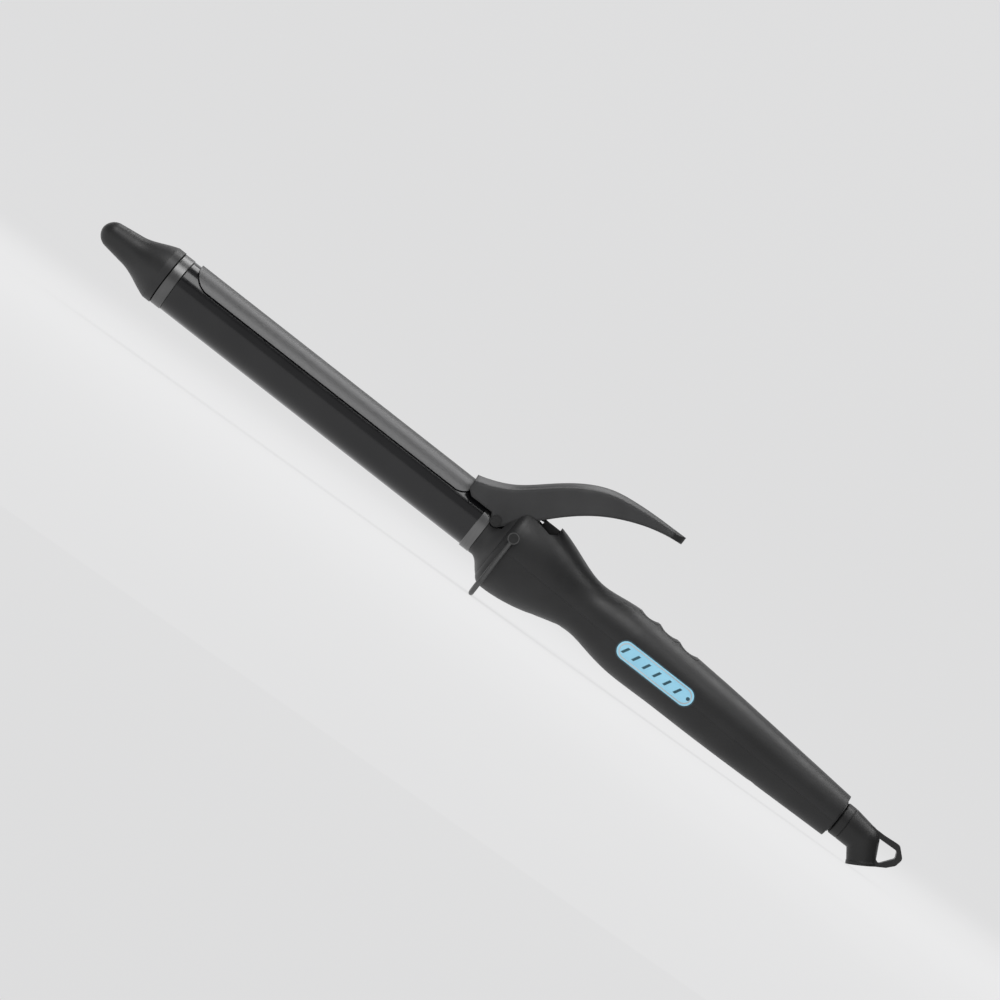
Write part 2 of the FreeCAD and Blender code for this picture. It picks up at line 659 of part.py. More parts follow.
# (x, radius) of the handle's round sections, from the crest to the rear end
HANDLE_STATIONS = [
    (CREST_X, CREST_R), (CREST_X + 10.8, CREST_R - 0.95), (CREST_X + 21.8, CREST_R - 3.6),
    (CREST_X + 31.8, WAIST_R + 2.15), (CREST_X + WAIST_BACK, WAIST_R), (CREST_X + 52.8, GRIP_R - 1.45),
    (grip_x(0), GRIP_R), (grip_x(0.16), GRIP_R - 0.45), (grip_x(0.377), GRIP_R - 1.3),
    (grip_x(0.63), GRIP_R - 2.65), (grip_x(0.855), REAR_R + 0.9), (HANDLE_REAR_X, REAR_R),
]
HANDLE_STEP = 6.5       # spacing of the round sections that the form is drawn through
HANDLE_CURVE = Part.BSplineCurve()
HANDLE_CURVE.interpolate([V(x, radius, 0) for x, radius in HANDLE_STATIONS])


def handle_centre(x):
    """Height of the handle's centre line, which falls evenly from the barrel's axis to the swivel's."""
    return SWIVEL_Z * (x - CREST_X) / HANDLE_LENGTH


def handle_radius(x):
    """Radius of the handle's round section at x."""
    low, high = HANDLE_CURVE.FirstParameter, HANDLE_CURVE.LastParameter
    for _ in range(50):
        middle = (low + high) / 2
        if HANDLE_CURVE.value(middle).x < x:
            low = middle
        else:
            high = middle
    return HANDLE_CURVE.value(low).y


def handle_form(inset):
    """Handle's outer form, or the same form moved in by an even wall."""
    count = round(HANDLE_LENGTH / HANDLE_STEP)
    sections = []
    for i in range(count + 1):
        x = CREST_X + HANDLE_LENGTH * i / count
        circle = Part.makeCircle(handle_radius(x) - inset, V(x, 0, handle_centre(x)), X_AXIS)
        sections.append(Part.Wire(circle))
    body = Part.makeLoft(sections, True, False)
    crest = Part.Arc(V(NOSE_X1, 0, NOSE_REAR_R - inset), V(NOSE_X1 + 0.39 * CREST_BACK, 0, CREST_R - 0.85 - inset),
                     V(CREST_X, 0, CREST_R - inset)).toShape()
    outline = [
        crest,
        Part.makeLine(V(CREST_X, 0, CREST_R - inset), V(CREST_X, 0, 0)),
        Part.makeLine(V(CREST_X, 0, 0), V(NOSE_X1, 0, 0)),
        Part.makeLine(V(NOSE_X1, 0, 0), V(NOSE_X1, 0, NOSE_REAR_R - inset)),
    ]
    shoulder = Part.Face(Part.Wire(outline)).revolve(V(0, 0, 0), X_AXIS, 360)
    return body.fuse(shoulder)


def handle_hollow():
    """Room inside the shells, ahead of the rear wall that the bushing sits in."""
    end = HANDLE_REAR_X - BUSHING_LENGTH
    reach = CREST_R + 5
    return handle_form(HANDLE_WALL).common(box(NOSE_X1 - 1, end, -reach, reach, -reach, reach))


def seam_prism(up, gap):
    """Everything on one side of the parting surface."""
    x0, x1 = NOSE_X1 - 5, HANDLE_REAR_X + 5
    far = 60.0 if up else -60.0
    edges = polygon_edges([(x0, seam_z(x0) + gap), (x1, seam_z(x1) + gap), (x1, far), (x0, far)])
    return side_prism(edges, 60.0)


def button_holes(grow):
    holes = []
    for x in button_places():
        holes.append(button_block(x, grow, 3.0, 30.0))
    return compound(holes)


def button_places():
    return [BUTTON_FIRST_X + BUTTON_PITCH * i for i in range(BUTTON_COUNT)]


def button_block(x, grow, z0, z1):
    half_length = BUTTON_LENGTH / 2 + grow
    half_width = BUTTON_WIDTH / 2 + grow
    return rounded_block(x - half_length, x + half_length, -half_width, half_width, z0, z1, BUTTON_CORNER_R)


def screw_boss(x, z0, z1):
    return rod_z(z0, z1, SCREW_HEAD_R + BOSS_WALL, x)


def handle_floor_z(x):
    """Height of the handle's underside."""
    return handle_centre(x) - handle_radius(x)


def stand_sockets(radius):
    reach = CREST_R + 5
    return rod_y(-reach, reach, radius, STAND_PIVOT_X, STAND_PIVOT_Z)


def upper_handle_shell(outer, inner):
    shell = outer.cut(inner).common(seam_prism(True, 0.03))
    bosses = [screw_boss(x, seam_z(x) + 0.03, 30).common(outer) for x in SCREW_X]
    bosses = [b.common(seam_prism(True, 0.03)) for b in bosses]
    shell = fuse(shell, *bosses)
    shell = shell.cut(compound([rod_z(-20, seam_z(x) + 5.5, SCREW_R, x) for x in SCREW_X]))
    shell = shell.cut(rod_x(HANDLE_REAR_X - BUSHING_LENGTH, HANDLE_REAR_X + 1, BUSHING_R + SLIP,
                            0, SWIVEL_Z))
    shell = shell.cut(button_holes(0.25))
    shell = shell.cut(pill_prism(WINDOW_LENGTH, WINDOW_HEIGHT, -30, 0, GASKET_WIDTH))
    shell = shell.cut(lever_slot()).cut(stand_sockets(STAND_PIN_R))
    return biggest_solid(shell)


def lower_handle_shell(outer, inner):
    shell = outer.cut(inner).common(seam_prism(False, 0.0))
    bosses = [screw_boss(x, -30, seam_z(x)).common(outer) for x in SCREW_X]
    bosses = [b.common(seam_prism(False, 0.0)) for b in bosses]
    shell = fuse(shell, *bosses)
    shell = shell.cut(compound([rod_z(-40, 10, SCREW_R + SLIP, x) for x in SCREW_X]))
    shell = shell.cut(compound([rod_z(-40, screw_seat_z(x), SCREW_HEAD_R + SLIP, x) for x in SCREW_X]))
    shell = shell.cut(rod_x(HANDLE_REAR_X - BUSHING_LENGTH, HANDLE_REAR_X + 1, BUSHING_R + SLIP,
                            0, SWIVEL_Z))
    shell = shell.cut(pill_prism(WINDOW_LENGTH, WINDOW_HEIGHT, -30, 0, GASKET_WIDTH))
    return biggest_solid(shell)


def screw_seat_z(x):
    return handle_floor_z(x) + 3.2


def lever_well():
    """Black insert that closes the handle under the lever and holds the spring's foot."""
    slot = lever_slot()
    x0, x1 = BARREL_X1 + 2.0, SLOT_REAR_X - 0.2
    half = SLOT_HALF - WELL_GAP
    hollow = handle_form(HANDLE_WALL + 2 * SLIP)
    body = box(x0, x1, -half, half, WELL_LOW_Z, 30.0).common(hollow).cut(slot)
    room = hollow.fuse(slot)
    cheeks = []
    for side in (-1, 1):
        y0, y1 = sorted((side * CHEEK_INNER_Y, side * CHEEK_OUTER_Y))
        cheeks.append(box(WELL_FRONT_X, x1, y0, y1, SPRING_FOOT_Z - 1.0, WELL_TOP_Z).common(room))
    body = body.fuse(cheeks)
    pocket = rod_z(SPRING_FOOT_Z, 30, SPRING_R + 1.0, SPRING_X)
    swing_half = POST_R + 0.7
    swing = box(SPRING_X - POST_R - 0.6, SLOT_REAR_X - 0.6, -swing_half, swing_half, 13.0, 30)
    return biggest_solid(body.cut(pocket).cut(swing))


def handle_screws():
    screws = []
    for x in SCREW_X:
        seat = screw_seat_z(x)
        head = rod_z(seat - 1.6, seat, SCREW_HEAD_R, x).cut(rod_z(seat - 1.7, seat - 0.8, 0.8, x))
        shank = rod_z(seat, seam_z(x) + 5.0, SCREW_R, x)
        screws.append(fuse(head, shank))
    return compound(screws)


# ---------------------------------------------------------------- stand

def stand_half_width():
    return CREST_R + MOVING_GAP + STAND_WIRE_R + 0.1


def stand_bail():
    """Bent wire stand: an eye at either side, two straight legs and a foot bar."""
    y = stand_half_width()
    z_low = STAND_PIVOT_Z - STAND_REACH
    corner = STAND_CORNER_R
    foot = rod_y(-y + corner, y - corner, STAND_WIRE_R, STAND_PIVOT_X, z_low)
    pieces = []
    for side in (-1, 1):
        leg = rod_z(z_low + corner, STAND_PIVOT_Z, STAND_WIRE_R, STAND_PIVOT_X, side * y)
        pivot = V(STAND_PIVOT_X, side * (y - corner), z_low + corner)
        circle = Part.makeCircle(STAND_WIRE_R, pivot - V(0, 0, corner), Y_AXIS * side)
        section = Part.Face(Part.Wire(circle))
        bend = section.revolve(pivot, X_AXIS * side, 90)
        y0, y1 = sorted((side * (y - STAND_WIRE_R), side * (y + STAND_WIRE_R)))
        eye = rod_y(y0, y1, STAND_EYE_R, STAND_PIVOT_X, STAND_PIVOT_Z)
        pieces += [bend, leg, eye]
    return foot.fuse(pieces).cut(stand_sockets(STAND_PIN_R + RUNNING))


def stand_pins():
    """Two headed pins in the shell's side walls that the stand turns on."""
    pins = []
    for side in (-1, 1):
        inside = CREST_R - HANDLE_WALL - 1.0
        head_at = CREST_R + MOVING_GAP + 2 * STAND_WIRE_R + 0.2
        y0, y1 = sorted((side * inside, side * head_at))
        h0, h1 = sorted((side * head_at, side * (head_at + 0.7)))
        shank = rod_y(y0, y1, STAND_PIN_R, STAND_PIVOT_X, STAND_PIVOT_Z)
        head = rod_y(h0, h1, STAND_PIN_R + 0.8, STAND_PIVOT_X, STAND_PIVOT_Z)
        pins.append(fuse(shank, head))
    return compound(pins)


# ---------------------------------------------------------------- buttons and display

def button(index, outer):
    """Push button: dished cap that follows the handle's top, side flanges inside and a stem."""
    x = button_places()[index]
    far_x = x + BUTTON_LENGTH / 2
    flange_half = BUTTON_WIDTH / 2 + BUTTON_FLANGE
    inner_r = handle_radius(far_x) - HANDLE_WALL
    flange_top = handle_centre(far_x) + math.sqrt(inner_r ** 2 - flange_half ** 2) - MOVING_GAP
    cap = button_block(x, 0.0, flange_top - 0.9, 30.0).common(outer)
    dish_half = BUTTON_LENGTH / 2 - 0.3
    dish_r = (dish_half ** 2 + BUTTON_DISH ** 2) / (2 * BUTTON_DISH)
    dish = rod_y(-20, 20, dish_r, x, handle_centre(x) + handle_radius(x) - BUTTON_DISH + dish_r)
    flange = box(x - BUTTON_LENGTH / 2 + 1.5, x + BUTTON_LENGTH / 2 - 1.5, -flange_half, flange_half,
                 flange_top - 0.9, flange_top)
    stem_end = BOARD_TOP_Z + SWITCH_HEIGHT + SWITCH_PLUNGER + BUTTON_TRAVEL + 0.1
    stem = rod_z(stem_end, flange_top, 1.8, x)
    return fuse(cap.cut(dish), flange, stem)


def window_wall(outer, depth):
    inner = handle_form(depth)
    return outer.cut(inner)


def display_lens(outer):
    wall = window_wall(outer, 1.6)
    lens = wall.common(pill_prism(WINDOW_LENGTH, WINDOW_HEIGHT, -30, 0, -0.02))
    return biggest_solid(lens)


def display_gasket(outer):
    wall = window_wall(outer, 2.0)
    band = pill_prism(WINDOW_LENGTH, WINDOW_HEIGHT, -30, 0, GASKET_WIDTH - 0.03)
    band = band.cut(pill_prism(WINDOW_LENGTH, WINDOW_HEIGHT, -31, 1, 0.0))
    trimmed = wall.common(band)
    return biggest_solid(trimmed)


def light_guide():
    half = WINDOW_LENGTH / 2 - 2.5
    rise = WINDOW_HEIGHT / 2 - 0.8
    return box(WINDOW_X - half, WINDOW_X + half, GUIDE_Y, GUIDE_Y + GUIDE_THICK,
               WINDOW_Z - rise, WINDOW_Z + rise)


def led_face_y():
    return GUIDE_Y + GUIDE_THICK + LED_GAP


def indicator_leds():
    half = LED_SIZE / 2
    leds = []
    for i in range(LED_COUNT):
        x = WINDOW_X + LED_PITCH * (i - (LED_COUNT - 1) / 2)
        leds.append(box(x - half, x + half, led_face_y(), led_face_y() + LED_HEIGHT,
                        WINDOW_Z - 0.5, WINDOW_Z + 0.5))
    return compound(leds)


def display_board():
    half = WINDOW_LENGTH / 2 - 1.5
    top = BOARD_TOP_Z - BOARD_THICK - 0.2
    face_y = led_face_y() + LED_HEIGHT + 0.05
    return box(WINDOW_X - half, WINDOW_X + half, face_y, face_y + DISPLAY_BOARD_THICK, WINDOW_Z - 3.6, top)


# ---------------------------------------------------------------- control electronics

def control_board():
    half = BOARD_HALF_WIDTH
    low = BOARD_TOP_Z - BOARD_THICK
    board = box(BOARD_FRONT_X, BOARD_REAR_X, -half, half, low, BOARD_TOP_Z)
    holes = [rod_z(low - 1, BOARD_TOP_Z + 1, SCREW_R + SLIP, x) for x in board_screw_places()]
    return board.cut(compound(holes))


def board_screw_places():
    return (BOARD_FRONT_X + 4.0, BOARD_REAR_X - 8.0)


def board_screws():
    screws = []
    low = BOARD_TOP_Z - BOARD_THICK
    for x in board_screw_places():
        head = rod_z(BOARD_TOP_Z, BOARD_TOP_Z + 1.2, SCREW_HEAD_R, x)
        screws.append(fuse(head, rod_z(low - 1.6, BOARD_TOP_Z, SCREW_R, x)))
    return compound(screws)


def tactile_switches():
    switches = []
    half = SWITCH_SIZE / 2
    for x in button_places():
        body = box(x - half, x + half, -half, half, BOARD_TOP_Z, BOARD_TOP_Z + SWITCH_HEIGHT)
        plunger = rod_z(BOARD_TOP_Z + SWITCH_HEIGHT, BOARD_TOP_Z + SWITCH_HEIGHT + SWITCH_PLUNGER,
                        1.6, x)
        switches.append(fuse(body, plunger))
    return compound(switches)


def power_module():
    """Potted switching module under the board's rear half."""
    low = BOARD_TOP_Z - BOARD_THICK
    x0 = BOARD_REAR_X - 10.0 - MODULE_LENGTH
    return box(x0, x0 + MODULE_LENGTH, -MODULE_HALF_WIDTH, MODULE_HALF_WIDTH, low - MODULE_HEIGHT, low)


def capacitor():
    """Reservoir capacitor lying on the board's upper face."""
    x0 = BOARD_REAR_X - 18.0 - CAPACITOR_LENGTH
    return rod_x(x0, x0 + CAPACITOR_LENGTH, CAPACITOR_R, 0, BOARD_TOP_Z + CAPACITOR_R)


def controller_chip():
    low = BOARD_TOP_Z - BOARD_THICK
    return box(BOARD_FRONT_X + 40.0, BOARD_FRONT_X + 47.0, -3.5, 3.5, low - 1.4, low)


def filter_choke():
    """Wound ring core that filters the mains, behind the rear screw boss."""
    x = SCREW_X[-1] + SCREW_HEAD_R + BOSS_WALL + CHOKE_WIRE_R + 0.8
    return Part.makeTorus(CHOKE_R, CHOKE_WIRE_R, V(x, 0, SWIVEL_Z), X_AXIS)


def triac():
    """Heater power switch with its heat-sink tab, at the board's front."""
    low = BOARD_TOP_Z - BOARD_THICK
    x0 = BOARD_FRONT_X + 10.0
    body = box(x0, x0 + 10, -4.8, 4.8, low - 4.4, low)
    tab = box(x0 + 10, x0 + 15, -4.8, 4.8, low - 1.3, low)
    return fuse(body, tab)


# ---------------------------------------------------------------- swivel

def end_bushing():
    """Flanged bearing in the handle's rear end that the elbow's neck turns in."""
    x0 = HANDLE_REAR_X - BUSHING_LENGTH
    sleeve = rod_x(x0, HANDLE_REAR_X, BUSHING_R, 0, SWIVEL_Z)
    rim = rod_x(HANDLE_REAR_X, HANDLE_REAR_X + BUSHING_RIM, ELBOW_INLET_R, 0, SWIVEL_Z)
    bore = rod_x(x0 - 1, HANDLE_REAR_X + 2, NECK_R + RUNNING, 0, SWIVEL_Z)
    return fuse(sleeve, rim).cut(bore)


def elbow_direction():
    angle = math.radians(ELBOW_ANGLE)
    return V(math.cos(angle), 0, -math.sin(angle))


def elbow_bend():
    return V(ELBOW_BEND_X, 0, SWIVEL_Z - ELBOW_BEND_DROP)


def elbow_exit():
    return elbow_bend() + elbow_direction() * ELBOW_DROP


def swivel_elbow():
    """Moulded elbow: neck, inlet barrel, rounded bend, cord outlet and a hang loop behind."""
    x0 = HANDLE_REAR_X + BUSHING_RIM + ELBOW_GAP
    bend = elbow_bend()
    out = elbow_direction()
    inlet_end = x0 + ELBOW_INLET_LENGTH
    inlet = rod_x(x0, inlet_end, ELBOW_INLET_R, 0, SWIVEL_Z)
    inlet = inlet.makeChamfer(0.5, [inlet.Edges[0], inlet.Edges[2]])
    circles = [Part.makeCircle(ELBOW_INLET_R, V(inlet_end, 0, SWIVEL_Z), X_AXIS),
               Part.makeCircle(ELBOW_BEND_R, bend, X_AXIS)]
    throat = Part.makeLoft([Part.Wire(circle) for circle in circles], True, True)
    ball = Part.makeSphere(ELBOW_BEND_R, bend)
    outlet = Part.makeCone(ELBOW_BEND_R, ELBOW_EXIT_R, ELBOW_DROP, bend, out)
    bead = Part.makeCylinder(ELBOW_EXIT_R + ELBOW_BEAD, ELBOW_BEAD_LENGTH,
                             bend + out * (ELBOW_DROP - ELBOW_BEAD_LENGTH), out)
    neck = rod_x(x0 - NECK_LENGTH, x0 + 1.0, NECK_R, 0, SWIVEL_Z)
    beyond = Part.makeBox(40, 40, 40, V(-20, -20, 0))
    beyond.Placement = FreeCAD.Placement(elbow_exit(), FreeCAD.Rotation(Z_AXIS, out))
    body = fuse(inlet, throat, ball, outlet, bead, neck, hang_loop()).cut(beyond)
    cord_bore = Part.makeCylinder(CORD_BORE_R, ELBOW_DROP + 1, bend, out)
    cord_ball = Part.makeSphere(CORD_BORE_R, bend)
    neck_bore = rod_x(x0 - NECK_LENGTH - 1, ELBOW_BEND_X, NECK_BORE_R, 0, SWIVEL_Z)
    body = body.cut(cord_bore).cut(cord_ball).cut(neck_bore)
    groove = rod_x(clip_x() - 0.1, clip_x() + 1.1, 9, 0, SWIVEL_Z)
    groove = groove.cut(rod_x(clip_x() - 1, clip_x() + 2, NECK_R - 0.7, 0, SWIVEL_Z))
    return biggest_solid(body.cut(groove))


def upright_side_edges(shape, beyond_x):
    """Edges that run across the tool, further back than a given place."""
    return [edge for edge in shape.Edges
            if abs(edge.tangentAt(edge.FirstParameter).y) > 0.99 and edge.CenterOfMass.x > beyond_x]


def hang_loop():
    """Strap from the elbow's back, round a three-cornered eye, to the cord outlet."""
    x, z = HANDLE_REAR_X + LOOP_BACK, SWIVEL_Z
    strap = side_prism(polygon_edges([
        (x - 2.0, z + 6.1), (x + 8.0, z + 6.2), (x + 15.6, z + 6.9), (x + 20.3, z + 2.6),
        (x + 19.6, z - 1.4), (x + 13.2, z - 8.6), (x + 7.0, z - 9.0), (x, z),
    ]), LOOP_WIDTH / 2)
    strap = strap.makeFillet(2.2, upright_side_edges(strap, x + 14.5))
    eye = side_prism(polygon_edges([
        (x + 5.0, z + 3.6), (x + 16.2, z + 4.1), (x + 17.6, z + 1.0), (x + 13.0, z - 5.2), (x + 8.0, z - 3.0),
    ]), LOOP_WIDTH)
    eye = eye.makeFillet(1.2, upright_side_edges(eye, x + 12.0))
    return strap.cut(eye)


def clip_x():
    return HANDLE_REAR_X - BUSHING_LENGTH - MOVING_GAP - 1.2


def swivel_clip():
    """Retaining ring on the neck, inside the bushing."""
    ring_body = rod_x(clip_x(), clip_x() + 1.0, NECK_R + 1.4, 0, SWIVEL_Z)
    ring_body = ring_body.cut(rod_x(clip_x() - 1, clip_x() + 2, NECK_R - 0.65, 0, SWIVEL_Z))
    gap = box(clip_x() - 1, clip_x() + 2, -2.0, 2.0, SWIVEL_Z, SWIVEL_Z + 10)
    return ring_body.cut(gap)


def slip_ring_places():
    x0 = HANDLE_REAR_X + BUSHING_RIM + ELBOW_GAP - NECK_LENGTH
    return (x0 + 1.0, x0 + 3.0 + SLIP_RING_LENGTH)


def slip_rings():
    rings = []
    for x in slip_ring_places():
        band = rod_x(x, x + SLIP_RING_LENGTH, SLIP_RING_R, 0, SWIVEL_Z)
        rings.append(band.cut(rod_x(x - 1, x + SLIP_RING_LENGTH + 1, NECK_R, 0, SWIVEL_Z)))
    return compound(rings)


def brush_contacts():
    """Sprung carbon blocks that ride on top of the slip rings."""
    contacts = []
    low = SWIVEL_Z + SLIP_RING_R + BRUSH_GAP
    for x in slip_ring_places():
        contacts.append(box(x + 0.6, x + SLIP_RING_LENGTH - 0.6, -1.5, 1.5, low, low + BRUSH_HEIGHT))
    return compound(contacts)


def brush_holder():
    """Bridge over the rings with a cross wall ahead of the neck's end."""
    x0 = slip_ring_places()[0]
    x1 = slip_ring_places()[-1] + SLIP_RING_LENGTH
    low = SWIVEL_Z + SLIP_RING_R + BRUSH_GAP + BRUSH_HEIGHT
    wall_x = x0 - 1.3
    bridge = box(wall_x, x1, -2.6, 2.6, low, low + 1.2)
    wall = box(wall_x - 2.0, wall_x, -5.1, 5.1, low - 3.0, low + 0.5)
    return fuse(bridge, wall)


def mains_leads():
    """Two leads from the brush holder forward to the control board's upper face."""
    x0 = BOARD_REAR_X - 5.0
    x1 = slip_ring_places()[0] - 3.3
    return compound([rod_x(x0, x1, LEAD_R, y, BOARD_TOP_Z + LEAD_R) for y in (-4.3, 4.3)])


# ---------------------------------------------------------------- assembly

def resting_turn():
    """Nose-up turn, in radians, that levels the foot bar with the elbow's lowest rim."""
    out = elbow_direction()
    rim = elbow_exit() + V(out.z, 0, -out.x) * (ELBOW_EXIT_R + ELBOW_BEAD)
    ahead = rim.x - STAND_PIVOT_X
    below = STAND_PIVOT_Z - STAND_REACH - rim.z
    return math.atan2(ahead, below) - math.acos(STAND_WIRE_R / math.hypot(ahead, below))


def build_all():
    outer = handle_form(0.0)
    inner = handle_hollow()
    lever_form = lever_outer()
    return {
        "cool_tip": cool_tip(),
        "tip_ring": tip_ring(),
        "barrel": barrel(),
        "collar_ring": collar_ring(),
        "barrel_plug": barrel_plug(),
        "heater_plate": heater_plate(),
        "upper_heat_spreader": heat_spreader(1),
        "lower_heat_spreader": heat_spreader(-1),
        "spreader_clips": spreader_clips(),
        "temperature_sensor": temperature_sensor(),
        "thermal_fuse": thermal_fuse(),
        "heater_leads": heater_leads(),
        "sensor_leads": sensor_leads(),
        "clamp_blade": clamp_blade(),
        "thumb_lever": thumb_lever(lever_form),
        "lever_end_cap": lever_end_cap(lever_form),
        "blade_rivets": blade_rivets(),
        "lever_pivot_pins": lever_pivot_pins(),
        "clamp_spring": clamp_spring(),
        "nose_cone": nose_cone(),
        "upper_handle_shell": upper_handle_shell(outer, inner),
        "lower_handle_shell": lower_handle_shell(outer, inner),
        "lever_well": lever_well(),
        "handle_screws": handle_screws(),
        "stand_bail": stand_bail(),
        "stand_pins": stand_pins(),
        "power_button": button(0, outer),
        "plus_button": button(1, outer),
        "minus_button": button(2, outer),
        "display_lens": display_lens(outer),
        "display_gasket": display_gasket(outer),
        "light_guide": light_guide(),
        "indicator_leds": indicator_leds(),
        "display_board": display_board(),
        "control_board": control_board(),
        "board_screws": board_screws(),
        "tactile_switches": tactile_switches(),
        "power_module": power_module(),
        "capacitor": capacitor(),
        "controller_chip": controller_chip(),
        "triac": triac(),
        "filter_choke": filter_choke(),
        "end_bushing": end_bushing(),
        "swivel_elbow": swivel_elbow(),
        "swivel_clip": swivel_clip(),
        "slip_rings": slip_rings(),
        "brush_contacts": brush_contacts(),
        "brush_holder": brush_holder(),
        "mains_leads": mains_leads(),
    }


def main():
    nodes = build_all()
    tilt = resting_turn()
    turn = FreeCAD.Placement(V(0, 0, 0), FreeCAD.Rotation(Y_AXIS, math.degrees(tilt)))
    foot = turn.multVec(V(STAND_PIVOT_X, 0, STAND_PIVOT_Z - STAND_REACH))
    for shape in nodes.values():
        shape.Placement = turn.multiply(shape.Placement)
    front = nodes["cool_tip"].optimalBoundingBox(False).XMin
    rear = nodes["swivel_elbow"].optimalBoundingBox(False).XMax
    shift = V(-(front + rear) / 2, 0, STAND_WIRE_R - foot.z)
    for name, shape in nodes.items():
        shape.translate(shift)
        shape.exportStep("parts/" + name + ".step")
    print("nose-up turn in degrees:", math.degrees(tilt))
    print("shift in mm:", tuple(shift))


main()
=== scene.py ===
"""Curling iron on its stand: finishes, display and button details, floor, lights and camera."""

import json
import math

import bmesh
import bpy
from mathutils import Matrix, Vector


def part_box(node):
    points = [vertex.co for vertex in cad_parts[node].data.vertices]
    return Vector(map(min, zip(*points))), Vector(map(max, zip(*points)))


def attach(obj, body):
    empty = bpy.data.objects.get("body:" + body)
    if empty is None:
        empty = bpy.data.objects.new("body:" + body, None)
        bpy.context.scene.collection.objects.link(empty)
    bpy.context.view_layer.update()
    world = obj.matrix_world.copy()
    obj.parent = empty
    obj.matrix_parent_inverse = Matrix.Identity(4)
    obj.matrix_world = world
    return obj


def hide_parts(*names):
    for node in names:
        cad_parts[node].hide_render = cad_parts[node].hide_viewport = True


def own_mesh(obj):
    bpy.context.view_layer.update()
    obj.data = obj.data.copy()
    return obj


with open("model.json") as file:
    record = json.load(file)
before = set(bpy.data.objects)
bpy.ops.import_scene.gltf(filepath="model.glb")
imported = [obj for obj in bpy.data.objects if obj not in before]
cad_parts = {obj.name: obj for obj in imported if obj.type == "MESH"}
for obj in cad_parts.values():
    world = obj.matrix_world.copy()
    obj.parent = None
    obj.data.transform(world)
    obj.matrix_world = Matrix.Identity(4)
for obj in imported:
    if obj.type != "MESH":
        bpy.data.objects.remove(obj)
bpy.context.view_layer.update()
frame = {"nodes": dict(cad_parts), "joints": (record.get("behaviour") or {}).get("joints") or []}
NODES = frame["nodes"]
PI = math.pi


# ---------------------------------------------------------------- the tool's own directions

def joint_axis(name):
    joint = next(j for j in frame["joints"] if j["name"] == name)
    return Vector(joint["axis"]).normalized()


TOOL_X = joint_axis("cord_swivel_turn")     # from the tip to the handle's rear
if TOOL_X.x < 0:
    TOOL_X = -TOOL_X
TOOL_Z = Vector((-TOOL_X.z, 0, TOOL_X.x)).normalized()
TILT = math.atan2(-TOOL_X.z, TOOL_X.x)      # nose-up turn of the whole tool


def middle(node):
    """Centre of a node's box in the frame."""
    low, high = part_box(node)
    return (low + high) / 2


# ---------------------------------------------------------------- camera

FRAME_WIDTH = 0.4355        # width of the picture at the tool, in metres like every length here
BARREL_SLOPE = math.radians(38.08)      # how far the barrel leans in the picture
LENS = 200.0                # millimetres, as is the sensor
SENSOR = 36.0
CLIP_END = 20
VIEW_POINT = Vector((-0.0118, 0, 0.0410))


def add_camera():
    data = bpy.data.cameras.new("camera")
    data.lens = LENS
    data.sensor_width = SENSOR
    data.clip_end = CLIP_END
    camera = bpy.data.objects.new("camera", data)
    bpy.context.scene.collection.objects.link(camera)
    distance = FRAME_WIDTH * LENS / SENSOR
    look = Matrix.Rotation(PI / 2, 4, "X")
    roll = Matrix.Rotation(BARREL_SLOPE - TILT, 4, "Z")
    place = Matrix.Translation(VIEW_POINT - Vector((0, distance, 0)))
    camera.matrix_world = place @ look @ roll
    bpy.context.scene.camera = camera


add_camera()


# ---------------------------------------------------------------- materials

NOISE_LOW = 0.3             # a noise texture's values lie mostly between these two
NOISE_HIGH = 0.7
PLASTIC_SPREAD = 0.22       # mottling, as a share of the shade
GRAIN_SCALE = 2600
GRAIN_DEPTH = 0.00004
LINE_DEPTH = 0.00003
COATING_DEPTH = 0.00005     # relief of the barrel's coating and of the board's mask
METAL_SPREAD = 0.10
LINE_SHARE = 0.85           # of brushed metal's unevenness, the rest being smears
BEVEL_SAMPLES = 4


